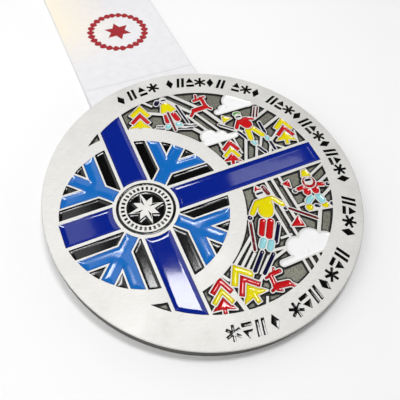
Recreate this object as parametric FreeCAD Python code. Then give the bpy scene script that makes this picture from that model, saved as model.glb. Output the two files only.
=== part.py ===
import FreeCAD, Part
import math
import os

# A finisher's medal: a struck disc with a coloured relief face, and its neck ribbon.
# Millimetres. The origin is the centre of the disc's back face, +Z comes out of the
# front, +Y points to the ribbon and +X runs along the long arm of the cross.

# the disc
discRadius = 45.0
discThick = 4.0
edgeBreak = 0.35
fieldRadius = 36.2
backGrooveRadius = 21.0
backGrooveWidth = 0.8
backGrooveDepth = 0.3

# the round emblem on the left of the field
emblemX = -18.0
emblemRadius = 23.0
emblemRing = 27.6
wedgeRing = 26.8
wedgeField = 36.7
medallionRadius = 8.7

# the cross
armHalf = 3.55
armBorder = 0.9
leftArmEnd = -41.0
rightArmEnd = 36.4

# relief heights, and the thin raised lines that part the colours
lineWidth = 0.32
flakeLine = 0.5
enamelFloor = 3.1
enamelTop = 3.72
emblemFloor = 3.0
mapFloor = 3.4
markFloor = 3.55
paintThick = 0.06
smallestCell = 0.3
thinnestCell = 0.2

# the row of marks round the rim
markInner = 38.9
markOuter = 42.9

# the bar at the back that holds the ribbon
barRadius = 1.0
barY = 27.0
barZ = -2.1
lugInnerX = 20.7
lugThick = 2.0
lugBottomRadius = 1.9
lugFootHalf = 2.8
lugBoreClearance = 0.01
solderReach = 0.55

# the ribbon
ribbonWidth = 40.0
ribbonThick = 0.55
layerGap = 0.05
eyeClearance = 0.08
seamStartY = 31.0
seamEndY = 37.0
creaseY = 54.5
hankStartY = 113.0
hankLength = 52.0
hankHeight = 7.2
restGap = 0.1
stitchLength = 1.9
stitchPitch = 2.6
stitchWidth = 0.35
stitchProud = 0.12
tieWidth = 6.0
tieThick = 0.6
layerPitch = ribbonThick + layerGap
hankLift = tieThick + layerGap

origin = FreeCAD.Vector(0, 0, 0)
up = FreeCAD.Vector(0, 0, 1)

# The disc's lower edge and the two lugs stand on one flat surface, which slopes
# down behind the disc. A ribbon point is given by its place along that surface
# and its height over it.
restSlope = math.atan2(lugBottomRadius - barZ, discRadius + barY)


def on_rest(y, height):
    run = (y + discRadius) / math.cos(restSlope)
    drop = -run * math.sin(restSlope)
    return (y + height * math.sin(restSlope), drop + height * math.cos(restSlope))


# ---- flat outlines, all in the plane z = 0; grow widens the outline all round ----

def polygon(points, grow=0.0):
    corners = [FreeCAD.Vector(x, y, 0) for x, y in points]
    face = Part.Face(Part.makePolygon(corners + corners[:1]))
    return face.makeOffset2D(grow).Faces[0] if grow else face


def dot(x, y, radius, grow=0.0):
    circle = Part.makeCircle(radius + grow, FreeCAD.Vector(x, y, 0), up)
    return Part.Face(Part.Wire(circle))


def strip(x0, y0, x1, y1, width, grow=0.0):
    """A straight band with square ends."""
    length = math.hypot(x1 - x0, y1 - y0)
    half = width / 2 + grow
    face = Part.makePlane(length + 2 * grow, 2 * half, FreeCAD.Vector(-grow, -half, 0))
    face.rotate(origin, up, math.degrees(math.atan2(y1 - y0, x1 - x0)))
    face.translate(FreeCAD.Vector(x0, y0, 0))
    return face


def pill(x0, y0, x1, y1, width, grow=0.0):
    """A straight band with round ends."""
    along = FreeCAD.Vector(x1 - x0, y1 - y0, 0)
    unit = FreeCAD.Vector(along).normalize()
    side = FreeCAD.Vector(-unit.y, unit.x, 0) * (width / 2 + grow)
    cap = unit * (width / 2 + grow)
    start = FreeCAD.Vector(x0, y0, 0)
    end = FreeCAD.Vector(x1, y1, 0)
    edges = [Part.LineSegment(start - side, end - side),
             Part.Arc(end - side, end + cap, end + side),
             Part.LineSegment(end + side, start + side),
             Part.Arc(start + side, start - cap, start - side)]
    return Part.Face(Part.Wire([edge.toShape() for edge in edges]))


def rectangle(x0, y0, x1, y1):
    return Part.makePlane(x1 - x0, y1 - y0, FreeCAD.Vector(x0, y0, 0))


def joined(faces):
    return faces[0].fuse(faces[1:]).removeSplitter() if len(faces) > 1 else faces[0]


def near(a, b):
    return a.BoundBox.intersect(b.BoundBox)


def cut_by(face, tools):
    reaching = [tool for tool in tools if near(face, tool)]
    return face.cut(reaching) if reaching else face


def worth_keeping(face):
    return face.Area > smallestCell and 2 * face.Area / face.Length > thinnestCell


def cells(shape):
    return [face for face in shape.Faces if worth_keeping(face)]


def moved(face, x, y, tilt=0.0, size=1.0):
    copy = face.copy()
    if size != 1.0:
        copy = copy.scaled(size)
    copy.rotate(origin, up, tilt)
    copy.translate(FreeCAD.Vector(x, y, 0))
    return copy


def raised(face, low, high):
    base = face.copy()
    base.translate(FreeCAD.Vector(0, 0, low))
    return base.extrude(FreeCAD.Vector(0, 0, high - low))


def mirrored(face):
    return face.mirror(origin, FreeCAD.Vector(0, 1, 0))


# ---- the cross and the emblem ----

def cross_arms():
    field = dot(0, 0, fieldRadius)
    middle = dot(emblemX, 0, medallionRadius + lineWidth)
    left, right = emblemX - armHalf, emblemX + armHalf
    upright = rectangle(left, 0, right, discRadius).common(field).cut(middle)
    return {"cross_enamel_left": rectangle(leftArmEnd, -armHalf, emblemX, armHalf).cut(middle),
            "cross_enamel_right": rectangle(emblemX, -armHalf, rightArmEnd, armHalf).cut(middle),
            "cross_enamel_top": upright,
            "cross_enamel_bottom": mirrored(upright)}


def cross_border():
    half = armHalf + armBorder
    upright = rectangle(emblemX - half, -discRadius, emblemX + half, discRadius)
    return [upright, rectangle(-discRadius, -half, discRadius, half)]


def flake_outline(grow=0.0):
    """One quarter of the snowflake: a stem that parts into three arms."""
    inner, outer, armWidth, reach = 8.1, 11.5, 3.5, 24.0
    level = (inner + outer) / 2
    arms = [strip(inner, level, reach, level, outer - inner, grow),
            strip(level, inner, level, reach, outer - inner, grow),
            strip(4.0, 4.0, reach, reach, armWidth, grow)]
    quarter = joined(arms)
    quarter = quarter.common(dot(0, 0, emblemRadius - 0.1 + grow))
    quarter = quarter.cut(dot(0, 0, medallionRadius + lineWidth - grow))
    return quarter


def flakes(grow=0.0):
    places = {"flake_enamel_upper_right": 0, "flake_enamel_upper_left": 90,
              "flake_enamel_lower_left": 180, "flake_enamel_lower_right": 270}
    quarter = flake_outline(grow)
    return {name: moved(quarter, emblemX, 0, turn) for name, turn in places.items()}


def emblem_cells():
    ground = dot(emblemX, 0, emblemRadius)
    walls = cross_border() + list(flakes(flakeLine).values())
    walls.append(dot(emblemX, 0, medallionRadius + lineWidth + 0.2))
    return cells(ground.cut(walls))


def compass_rose():
    """A compass rose: a groove, a ring of ticks, and a star on a sunk ground.

    Each long point of the star has one half sunk inside a bright edge."""
    grooveOuter, grooveInner = 8.1, 7.35
    tickOuter, tickInner, tickCount, tickWidth = 6.8, 5.8, 32, 0.62
    groundRadius, longPoint, shortPoint, waist, edge = 5.35, 5.2, 3.9, 2.2, 0.17
    waistX, waistY = waist * math.cos(math.pi / 8), waist * math.sin(math.pi / 8)
    sunk = [dot(0, 0, grooveOuter).cut(dot(0, 0, grooveInner)).Faces[0]]
    for step in range(tickCount):
        tick = rectangle(tickInner, -tickWidth / 2, tickOuter, tickWidth / 2)
        sunk.append(moved(tick, 0, 0, 360.0 * step / tickCount))
    points = []
    for step in range(8):
        tip = shortPoint if step % 2 else longPoint
        kite = polygon([(0, 0), (waistX, -waistY), (tip, 0), (waistX, waistY)])
        points.append(moved(kite, 0, 0, 45 * step))
    sunk += cells(dot(0, 0, groundRadius).cut(joined(points)))
    for step in range(4):
        half = polygon([(0, 0), (longPoint, 0), (waistX, waistY)], -edge)
        sunk.append(moved(half, 0, 0, 90 * step))
    return [moved(face, emblemX, 0) for face in sunk]


# ---- the marks round the rim ----

def mark_shapes():
    """Four plain signs, each upright and centred on the origin."""
    tall = markOuter - markInner
    half = tall / 2
    diamond = polygon([(0, half), (1.15, 0), (0, -half), (-1.15, 0)])
    slants = joined([polygon([(-1.3, -half), (-0.4, -half), (0.3, half), (-0.6, half)]),
                     polygon([(0.2, -half), (1.1, -half), (1.8, half), (0.9, half)])])
    peak = joined([polygon([(0, half), (1.3, -0.2), (-1.3, -0.2)]),
                   rectangle(-1.3, -half, 1.3, -half + 1.0)])
    star = joined([moved(rectangle(-half, -0.38, half, 0.38), 0, 0, 90 + 60 * step)
                   for step in range(3)])
    return [diamond, slants, peak, star]


def rim_marks():
    # first angle, last angle and number of marks in each group, clockwise
    groups = [(106.5, 90.5, 4), (82.5, 59.0, 6), (51.5, 42.0, 3), (34.0, -17.0, 12),
              (-27.5, -42.0, 4), (-52.0, -81.5, 7), (-90.5, -105.5, 4)]
    shapes = mark_shapes()
    middle = (markInner + markOuter) / 2
    marks = []
    for first, last, count in groups:
        for step in range(count):
            angle = first + (last - first) * step / (count - 1)
            shape = moved(shapes[len(marks) % len(shapes)], 0, middle)
            marks.append(moved(shape, 0, 0, angle - 90))
    pieces = []
    for mark in marks:
        pieces += mark.Faces
    return pieces


# ---- the picture ----
# Shapes are laid from front to back. Each leaves a thin bright line round itself,
# and what is laid later stops at the lines that are already there.

colourCells = {}
brightLines = []


def lay(colour, *outlines):
    face = joined([maker(*size) for maker, *size in outlines])
    line = joined([maker(*size, grow=lineWidth) for maker, *size in outlines])
    lay_shape(colour, face, line)


def lay_shape(colour, face, line):
    if colour != "metal":
        visible = cut_by(face, brightLines).common(picture_ground())
        colourCells.setdefault(colour, []).extend(cells(visible))
    brightLines.append(line)


def picture_ground():
    """The field that the emblem and the cross leave free: a crescent, and a small
    wedge on the left of each end of the upright, which reaches a little further."""
    right = rectangle(emblemX, -discRadius, discRadius, discRadius)
    left = rectangle(-discRadius, -discRadius, emblemX, discRadius)
    crescent = dot(0, 0, fieldRadius).cut(dot(emblemX, 0, emblemRing)).common(right)
    wedges = dot(0, 0, wedgeField).cut(dot(emblemX, 0, wedgeRing)).common(left)
    return joined([crescent, wedges]).cut(cross_border())


def chevron(top, half, drop, width, grow=0.0):
    slant = math.hypot(half, drop)
    inX = width * drop / slant
    inY = width * half / slant
    return polygon([(0, top), (half, top - drop), (half - inX, top - drop - inY),
                    (0, top - width * slant / half),
                    (inX - half, top - drop - inY), (-half, top - drop)], grow)


def tree_foot(top, half, drop, grow=0.0):
    trunk, foot = 0.55, 1.3
    return polygon([(0, top), (half, top - drop), (trunk, top - drop + 0.35),
                    (trunk, top - drop - foot), (-trunk, top - drop - foot),
                    (-trunk, top - drop + 0.35), (-half, top - drop)], grow)


def tree(x, y, tilt, size, tones):
    """A fir of two chevrons over a solid foot; x, y is its tip."""
    layers = [(chevron, 0.0, 3.3, 4.1, 1.55), (chevron, -3.0, 3.15, 4.0, 1.3),
              (tree_foot, -5.35, 3.3, 4.0)]
    for tone, (maker, *shape) in zip(tones, layers):
        face = moved(maker(*shape), x, y, tilt, size)
        line = moved(maker(*shape, grow=lineWidth / size), x, y, tilt, size)
        lay_shape(tone, face, line)


def trees():
    tree(-7.0, 35.1, -18, 0.98, ("yellow", "red", "yellow"))
    tree(33.2, 15.2, -18, 0.98, ("yellow", "red", "yellow"))
    tree(13.7, 13.0, -18, 0.86, ("red", "yellow", "red"))
    tree(-8.0, -25.4, -16, 0.93, ("red", "yellow", "red"))
    tree(-3.4, -23.7, 9, 1.1, ("yellow", "red", "yellow"))


def deer_leaping_left():
    lay("red", (pill, 8.3, 27.4, 12.5, 27.6, 1.7), (pill, 8.2, 27.3, 6.5, 25.6, 0.9),
        (pill, 12.5, 27.7, 12.5, 31.0, 1.2), (pill, 12.4, 31.5, 9.9, 31.2, 1.1),
        (pill, 12.9, 27.2, 13.7, 26.3, 0.8), (pill, 10.9, 32.0, 11.2, 33.1, 0.7),
        (pill, 12.5, 31.9, 13.7, 31.7, 0.7))


def deer_leaping_right():
    lay("red", (pill, 4.2, -33.1, 7.6, -33.7, 1.7), (pill, 7.8, -33.9, 9.2, -35.3, 0.9),
        (pill, 4.2, -33.0, 4.3, -30.0, 1.2), (pill, 4.6, -29.9, 7.1, -29.9, 1.1),
        (pill, 3.7, -33.6, 2.8, -33.9, 0.8), (pill, 5.6, -29.4, 5.9, -28.7, 0.7),
        (pill, 4.1, -34.1, 5.2, -34.7, 0.7), (pill, 4.0, -30.1, 2.9, -30.3, 0.7))


def upright_skier():
    lay("maroon", (pill, 0.25, 29.4, -0.1, 22.2, 0.7))
    lay("navy", (pill, 3.8, 31.3, 4.6, 23.7, 0.7))
    lay("navy", (pill, 0.2, 34.7, 1.3, 34.7, 0.5))
    lay("metal", (dot, 0.7, 34.8, 0.95))
    lay("navy", (pill, -1.9, 33.9, -1.3, 34.6, 1.5))
    lay("yellow", (pill, 0.6, 31.9, 0.7, 30.8, 3.3), (pill, -0.3, 32.2, -1.2, 30.2, 1.2),
        (pill, 1.6, 32.1, 2.5, 30.2, 1.2))
    lay("red", (pill, -0.75, 28.4, -1.2, 26.1, 1.4))
    lay("red", (pill, 1.7, 28.2, 2.1, 26.1, 1.8))
    lay("paleblue", (pill, -1.6, 24.4, -1.9, 24.1, 1.5))
    lay("paleblue", (pill, 1.4, 24.0, 1.9, 23.8, 1.5))
    for x0, y0, x1, y1 in ((-4.6, 25.3, -3.3, 24.9), (-5.5, 24.5, -3.3, 23.8),
                           (1.1, 22.5, 5.1, 21.2), (3.2, 23.0, 6.5, 21.9)):
        lay("navy", (pill, x0, y0, x1, y1, 0.65))


def striding_skier():
    lay("navy", (pill, 13.2, 19.5, 16.8, 16.3, 0.5))
    lay("maroon", (pill, 24.9, 18.6, 27.1, 22.1, 0.5))
    lay("maroon", (pill, 25.9, 18.3, 28.1, 21.8, 0.5))
    lay("navy", (pill, 19.8, 20.3, 21.0, 20.2, 0.5))
    lay("metal", (dot, 20.4, 20.3, 0.95))
    lay("green", (pill, 20.0, 21.5, 20.8, 21.4, 1.5))
    lay("red", (pill, 20.9, 18.0, 21.6, 16.7, 3.4), (pill, 19.7, 18.7, 17.9, 16.4, 1.2),
        (pill, 22.2, 18.9, 24.3, 18.0, 1.1))
    lay("yellow", (pill, 20.7, 14.3, 20.2, 11.2, 1.6), (pill, 22.7, 14.3, 24.2, 11.2, 1.6),
        (pill, 20.8, 14.5, 22.7, 14.5, 1.4))
    lay("paleblue", (pill, 20.2, 9.6, 20.5, 9.0, 1.2))
    lay("paleblue", (pill, 25.0, 9.9, 25.1, 9.2, 1.2))
    for x0, y0, x1, y1 in ((17.8, 14.8, 19.2, 11.3), (20.9, 7.5, 22.0, 4.9),
                           (25.6, 15.9, 25.4, 11.7), (25.3, 7.9, 25.3, 5.0)):
        lay("navy", (pill, x0, y0, x1, y1, 0.85))


def racing_skier():
    lay("maroon", (pill, 6.5, -14.7, 3.9, -22.3, 0.75))
    lay("maroon", (pill, 18.9, -14.8, 24.7, -20.4, 0.75))
    lay("navy", (pill, 12.6, -7.3, 14.1, -7.3, 0.65))
    lay("metal", (dot, 13.3, -7.6, 1.15))
    lay("red", (polygon, [(12.2, -6.3), (13.2, -4.6), (14.5, -6.3)]))
    lay("maroon", (pill, 15.2, -6.0, 15.6, -8.2, 1.3))
    lay("yellow", (pill, 13.1, -11.4, 12.3, -13.0, 4.3), (pill, 11.2, -9.8, 15.6, -9.9, 1.7),
        (pill, 10.7, -10.1, 8.4, -12.3, 1.5), (pill, 16.2, -10.3, 17.7, -12.8, 1.5))
    lay("navy", (dot, 7.1, -13.3, 0.7))
    lay("navy", (dot, 17.9, -14.3, 0.6))
    lay("red", (pill, 11.9, -16.4, 9.4, -20.1, 1.9))
    lay("red", (pill, 9.9, -15.7, 8.0, -18.7, 1.9))
    lay("paleblue", (pill, 9.0, -22.0, 7.9, -23.4, 1.7))
    lay("paleblue", (pill, 7.3, -20.8, 6.3, -22.0, 1.7))
    for x0, y0, x1, y1 in ((5.4, -23.6, 1.2, -27.5), (7.9, -25.2, 3.2, -29.0),
                           (13.6, -17.9, 10.3, -22.3)):
        lay("navy", (pill, x0, y0, x1, y1, 1.05))


def child_skier():
    lay("navy", (pill, 28.2, -8.4, 29.5, -8.6, 0.75))
    lay("metal", (dot, 28.8, -8.9, 1.05))
    lay("yellow", (polygon, [(28.6, -4.9), (30.1, -4.9), (30.5, -7.5), (27.6, -6.9)]))
    lay("red", (dot, 28.7, -9.2, 1.95))
    lay("red", (pill, 29.3, -11.2, 29.1, -12.4, 2.1), (pill, 30.2, -10.5, 32.2, -11.3, 1.3))
    lay("red", (pill, 26.9, -10.8, 26.5, -12.0, 2.1), (pill, 26.2, -10.1, 24.6, -10.2, 1.3))
    lay("navy", (dot, 23.3, -10.4, 0.6))
    lay("navy", (dot, 33.6, -11.8, 0.6))
    lay("paleblue", (pill, 28.8, -14.5, 29.1, -15.8, 2.0))
    lay("paleblue", (pill, 26.5, -14.0, 25.2, -14.7, 1.7))
    lay("yellow", (dot, 24.5, -16.6, 1.05))
    lay("yellow", (dot, 29.2, -17.5, 1.05))
    lay("navy", (pill, 26.5, -16.8, 27.2, -17.2, 0.9))
    lay("navy", (dot, 31.3, -17.9, 0.65))


def flags():
    lay("yellow", (polygon, [(15.6, 22.4), (14.8, 19.6), (18.1, 20.4)]))
    lay("red", (polygon, [(20.8, -6.9), (23.4, -6.4), (22.8, -9.0)]))
    lay("red", (polygon, [(16.5, -19.8), (20.0, -17.6), (20.2, -21.2)]))


def clouds():
    lay("white", (pill, 15.0, 24.2, 31.0, 24.2, 1.7), (dot, 21.4, 26.8, 3.2),
        (dot, 25.7, 25.9, 2.7), (dot, 17.3, 24.9, 1.4))
    lay("white", (pill, 4.5, 14.2, 16.2, 14.2, 1.6), (dot, 8.4, 16.2, 2.5),
        (dot, 12.2, 15.4, 1.7))
    lay("white", (pill, 9.2, -28.5, 27.0, -28.5, 1.6), (dot, 14.9, -25.8, 2.9),
        (dot, 19.4, -25.3, 3.3), (dot, 23.2, -26.8, 2.3))


def roads():
    """Bright bands that part the dark ground into fields: both ends and the width."""
    return [strip(*road) for road in (
        (-6.2, 31.6, -1.2, 29.2, 1.1), (-6.0, 36.5, -3.4, 33.4, 0.8),
        (2.7, 37.2, 9.8, 28.4, 1.1), (1.4, 34.6, 7.0, 27.2, 1.1),
        (5.2, 26.6, 9.0, 18.4, 0.9), (8.2, 26.4, 12.6, 16.8, 0.8),
        (11.0, 27.4, 14.9, 18.8, 1.2), (13.4, 19.2, 19.0, 14.2, 1.3),
        (5.0, 21.2, 7.6, 17.4, 1.1), (24.6, 17.6, 32.6, 20.8, 1.0),
        (25.6, 13.4, 35.0, 16.9, 1.0), (25.4, 8.0, 31.2, 12.0, 0.9),
        (10.4, 14.0, 10.2, 8.6, 0.8), (15.2, 14.0, 15.2, 7.0, 0.6),
        (19.2, 12.6, 14.4, 3.2, 0.9), (21.6, 9.8, 17.8, 3.0, 0.8),
        (24.8, 12.6, 20.8, 6.2, 0.8), (26.4, 9.4, 22.4, 3.0, 0.8),
        (33.2, 4.0, 34.6, 9.4, 0.6), (28.6, 4.0, 24.8, 7.6, 0.7),
        (16.8, -4.0, 16.8, -23.0, 0.8), (18.9, -4.0, 18.9, -19.0, 0.9),
        (21.3, -4.0, 21.3, -17.0, 0.9), (14.6, -11.6, 14.6, -23.0, 0.8),
        (30.2, -7.3, 36.9, -4.7, 0.8), (31.4, -10.4, 36.8, -8.4, 0.9),
        (29.6, -14.9, 35.8, -12.3, 0.9), (23.6, -17.4, 32.6, -19.2, 0.9),
        (27.2, -18.0, 22.2, -25.0, 1.1), (23.9, -15.0, 21.0, -15.0, 0.8),
        (12.0, -21.9, 15.6, -22.0, 0.7), (8.4, -24.3, 14.6, -25.0, 0.8),
        (6.6, -26.6, 12.8, -25.0, 0.8), (4.9, -18.4, -4.4, -25.2, 0.9),
        (4.6, -20.4, -2.4, -26.0, 0.8), (3.6, -23.0, -0.8, -26.6, 0.8),
        (3.2, -25.0, 0.2, -28.0, 0.5), (6.6, -25.0, 2.0, -28.8, 0.5),
        (-5.2, -37.2, -6.6, -29.6, 1.2), (-6.0, -27.4, -8.0, -24.0, 0.8),
        (14.6, -29.0, 14.6, -36.0, 0.8), (16.7, -29.0, 16.7, -36.0, 0.9),
        (18.9, -29.0, 18.9, -36.0, 1.0), (21.4, -29.0, 21.4, -34.0, 2.2),
        (1.2, -30.4, 4.0, -28.4, 0.8), (1.0, -34.6, -0.4, -37.0, 0.7),
    )]


def draw_picture():
    flags()
    upright_skier()
    striding_skier()
    racing_skier()
    child_skier()
    deer_leaping_left()
    deer_leaping_right()
    trees()
    clouds()


def map_cells():
    return cells(picture_ground().cut(roads() + brightLines))


# ---- the disc ----

def disc_body():
    disc = Part.makeCylinder(discRadius, discThick)
    rims = [edge for edge in disc.Edges if isinstance(edge.Curve, Part.Circle)]
    disc = disc.makeFillet(edgeBreak, rims)
    groove = Part.makeCylinder(backGrooveRadius, backGrooveDepth)
    groove = groove.cut(Part.makeCylinder(backGrooveRadius - backGrooveWidth, backGrooveDepth))
    return disc.cut(groove)


def pockets(faces, floor):
    return [raised(face, floor, discThick + 1.0) for face in faces]


# ---- the hanger ----

def lug(side):
    """A plate with a round end, pierced for the bar; its foot is on the disc's back."""
    inner = side * lugInnerX
    angle = math.radians(20)
    dropY, dropZ = lugBottomRadius * math.cos(angle), lugBottomRadius * math.sin(angle)
    points = [(barY - lugFootHalf, 0), (barY + lugFootHalf, 0),
              (barY + dropY, barZ - dropZ), (barY - dropY, barZ - dropZ)]
    corners = [FreeCAD.Vector(inner, y, z) for y, z in points]
    bottom = FreeCAD.Vector(inner, barY, barZ - lugBottomRadius)
    edges = [Part.LineSegment(corners[3], corners[0]).toShape(),
             Part.LineSegment(corners[0], corners[1]).toShape(),
             Part.LineSegment(corners[1], corners[2]).toShape(),
             Part.Arc(corners[2], bottom, corners[3]).toShape()]
    plate = Part.Face(Part.Wire(edges)).extrude(FreeCAD.Vector(side * lugThick, 0, 0))
    bore = Part.makeCylinder(barRadius + lugBoreClearance, 2 * lugThick + 2,
                             FreeCAD.Vector(inner - side * 1.0, barY, barZ),
                             FreeCAD.Vector(side, 0, 0))
    return plate.cut(bore)


def bar():
    half = lugInnerX + lugThick
    rod = Part.makeCylinder(barRadius, 2 * half, FreeCAD.Vector(-half, barY, barZ),
                            FreeCAD.Vector(1, 0, 0))
    return rod.makeChamfer(0.15, [e for e in rod.Edges if isinstance(e.Curve, Part.Circle)])


def solder(side):
    """The fillet of solder round a lug's foot."""
    levels = []
    for depth, reach in ((0.0, solderReach), (solderReach, 0.08)):
        x0 = side * (lugInnerX + lugThick / 2) - lugThick / 2 - reach
        y0 = barY - lugFootHalf - reach
        plane = Part.makePlane(lugThick + 2 * reach, 2 * lugFootHalf + 2 * reach,
                               FreeCAD.Vector(x0, y0, -depth))
        levels.append(plane.OuterWire)
    heap = Part.makeLoft(levels, True, True)
    inner = Part.makeBox(lugThick, 2 * lugFootHalf, 1,
                         FreeCAD.Vector(side * (lugInnerX + lugThick / 2) - lugThick / 2,
                                        barY - lugFootHalf, -1))
    return heap.cut(inner)


# ---- the ribbon, drawn as a section in Y and Z and run out to its width ----

def wide(points, width):
    corners = [FreeCAD.Vector(-width / 2, y, z) for y, z in points]
    face = Part.Face(Part.makePolygon(corners + corners[:1]))
    return face.extrude(FreeCAD.Vector(width, 0, 0))


def layer(points, thick):
    """The section of a layer of ribbon that follows a line of points."""
    upper, lower = [], []
    for i, (y, z) in enumerate(points):
        before = points[max(i - 1, 0)]
        after = points[min(i + 1, len(points) - 1)]
        slant = math.atan2(after[1] - before[1], after[0] - before[0])
        dy, dz = -math.sin(slant) * thick / 2, math.cos(slant) * thick / 2
        upper.append((y + dy, z + dz))
        lower.append((y - dy, z - dz))
    return upper + lower[::-1]


def seam_level(number):
    """The middle height of a layer at the seam; number 0 is next to the disc."""
    return barZ + (1 - number) * layerPitch


def ribbon_eye():
    inner = barRadius + eyeClearance
    middle = inner + ribbonThick / 2
    loop = Part.makeCylinder(inner + ribbonThick, ribbonWidth,
                             FreeCAD.Vector(-ribbonWidth / 2, barY, barZ), FreeCAD.Vector(1, 0, 0))
    tails = [[(barY, barZ + middle), (barY + 1.2, barZ + middle - 0.15), (seamStartY, seam_level(0))],
             [(barY, barZ - middle), (barY + 1.2, barZ - middle + 0.15), (seamStartY, seam_level(1)),
              (seamEndY, seam_level(1))]]
    for tail in tails:
        loop = loop.fuse(wide(layer(tail, ribbonThick), ribbonWidth))
    bore = Part.makeCylinder(inner, ribbonWidth, FreeCAD.Vector(-ribbonWidth / 2, barY, barZ),
                             FreeCAD.Vector(1, 0, 0))
    return loop.cut(bore).removeSplitter()


def ribbon_leg(number, level):
    """A leg from the seam down to the resting surface, along it and on under the hank."""
    middle = ribbonThick / 2 + level * layerPitch
    points = [(seamStartY, seam_level(number)), (seamEndY, seam_level(number)),
              on_rest(creaseY, restGap + middle), on_rest(hankStartY, hankLift + middle),
              on_rest(hankStartY + hankLength - hankHeight / 2, hankLift + middle)]
    return wide(layer(points, ribbonThick), ribbonWidth)


def ribbon_hank():
    """The folds of the hank over the two legs: a flat block with both ends round."""
    low = hankLift + 2 * layerPitch
    high = low + hankHeight
    middle = (low + high) / 2
    reach = hankHeight / 2
    start, end = hankStartY + reach, hankStartY + hankLength - reach

    def at(y, height):
        place = on_rest(y, height)
        return FreeCAD.Vector(-ribbonWidth / 2, place[0], place[1])

    edges = [Part.LineSegment(at(start, high), at(end, high)),
             Part.Arc(at(end, high), at(end + reach, middle), at(end, low)),
             Part.LineSegment(at(end, low), at(start, low)),
             Part.Arc(at(start, low), at(start - reach, middle), at(start, high))]
    face = Part.Face(Part.Wire([edge.toShape() for edge in edges]))
    return face.extrude(FreeCAD.Vector(ribbonWidth, 0, 0))


def ribbon_tie():
    """A flat elastic loop round the middle of the hank and the legs under it."""
    middle = hankStartY + hankLength / 2
    half = ribbonWidth / 2 + layerGap
    high = hankLift + 2 * layerPitch + hankHeight + layerGap

    def block(reach, bottom, top, along):
        corners = [on_rest(middle + side * along / 2, height)
                   for side, height in ((-1, bottom), (1, bottom), (1, top), (-1, top))]
        return wide(corners, 2 * reach)

    outer = block(half + tieThick, 0.0, high + tieThick, tieWidth)
    inner = block(half, tieThick, high, 2 * tieWidth)
    return outer.cut(inner)


def seam_stitches():
    top = seam_level(0) + ribbonThick / 2 + stitchProud
    bottom = seam_level(2) - ribbonThick / 2 - stitchProud
    count = int((ribbonWidth - 4.0) / stitchPitch)
    stitches = []
    for y in (seamStartY + 1.6, seamEndY - 1.4):
        for step in range(count):
            x = (step - (count - 1) / 2) * stitchPitch
            corner = FreeCAD.Vector(x - stitchLength / 2, y - stitchWidth / 2, bottom)
            stitches.append(Part.makeBox(stitchLength, stitchWidth, top - bottom, corner))
    return stitches


# ---- the files ----

def save(name, solids):
    shape = solids[0] if len(solids) == 1 else Part.makeCompound(solids)
    shape.exportStep("parts/" + name + ".step")
    print(name, len(solids), "solids", round(sum(s.Volume for s in solids), 2), "mm3")


def save_fill(name, faces, low, high):
    save(name, [raised(face, low, high) for face in faces])


os.makedirs("parts", exist_ok=True)
draw_picture()
arms = cross_arms()
flakeFaces = flakes()
emblemGround = emblem_cells()
roseGround = compass_rose()
mapGround = map_cells()
marks = rim_marks()
allColours = [face for faces in colourCells.values() for face in faces]

blank = disc_body()
cuts = pockets(list(arms.values()) + list(flakeFaces.values()) + allColours, enamelFloor)
cuts += pockets(emblemGround + roseGround, emblemFloor)
cuts += pockets(mapGround, mapFloor)
cuts += pockets(marks, markFloor)
save("medal_blank", [blank.cut(cuts)])

for name, face in list(arms.items()) + list(flakeFaces.items()):
    save_fill(name, [face], enamelFloor, enamelTop)
for colour, faces in colourCells.items():
    save_fill(colour + "_enamel", faces, enamelFloor, enamelTop)
save_fill("emblem_black_paint", emblemGround, emblemFloor, emblemFloor + paintThick)
save_fill("compass_black_paint", roseGround, emblemFloor, emblemFloor + paintThick)
save_fill("map_grey_wash", mapGround, mapFloor, mapFloor + paintThick)
save_fill("rim_mark_paint", marks, markFloor, markFloor + paintThick)

save("hanger_lug_left", [lug(-1)])
save("hanger_lug_right", [lug(1)])
save("ribbon_bar", [bar()])
save("hanger_solder", [solder(-1), solder(1)])
save("ribbon_eye", [ribbon_eye()])
save("ribbon_front_leg", [ribbon_leg(0, 1)])
save("ribbon_back_leg", [ribbon_leg(2, 0)])
save("ribbon_hank", [ribbon_hank()])
save("ribbon_tie", [ribbon_tie()])
save("seam_stitching", seam_stitches())
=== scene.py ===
import math
import random

import bmesh
import bpy
import numpy as np
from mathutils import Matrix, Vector, noise
from mathutils.geometry import delaunay_2d_cdt


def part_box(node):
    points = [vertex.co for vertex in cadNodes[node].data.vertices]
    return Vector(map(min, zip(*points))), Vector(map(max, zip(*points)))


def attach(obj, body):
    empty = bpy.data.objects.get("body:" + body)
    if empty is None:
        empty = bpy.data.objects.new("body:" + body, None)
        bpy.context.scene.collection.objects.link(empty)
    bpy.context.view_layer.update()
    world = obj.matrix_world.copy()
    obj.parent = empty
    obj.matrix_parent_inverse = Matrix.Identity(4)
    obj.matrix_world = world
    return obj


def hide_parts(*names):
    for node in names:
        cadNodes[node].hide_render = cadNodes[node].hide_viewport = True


# A finisher's medal on a pale table: a struck and plated disc with soft enamel
# in its recesses, and its neck ribbon folded into a hank behind it.

mm = 0.001
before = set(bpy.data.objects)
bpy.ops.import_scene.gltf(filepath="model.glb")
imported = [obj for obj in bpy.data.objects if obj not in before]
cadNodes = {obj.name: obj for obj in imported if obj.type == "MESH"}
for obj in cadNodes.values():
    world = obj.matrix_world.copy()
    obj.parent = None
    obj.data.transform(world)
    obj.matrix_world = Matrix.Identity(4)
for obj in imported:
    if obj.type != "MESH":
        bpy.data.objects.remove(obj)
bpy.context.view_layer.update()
print("frame loaded:", len(cadNodes), "nodes")

# what the frame says

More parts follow.
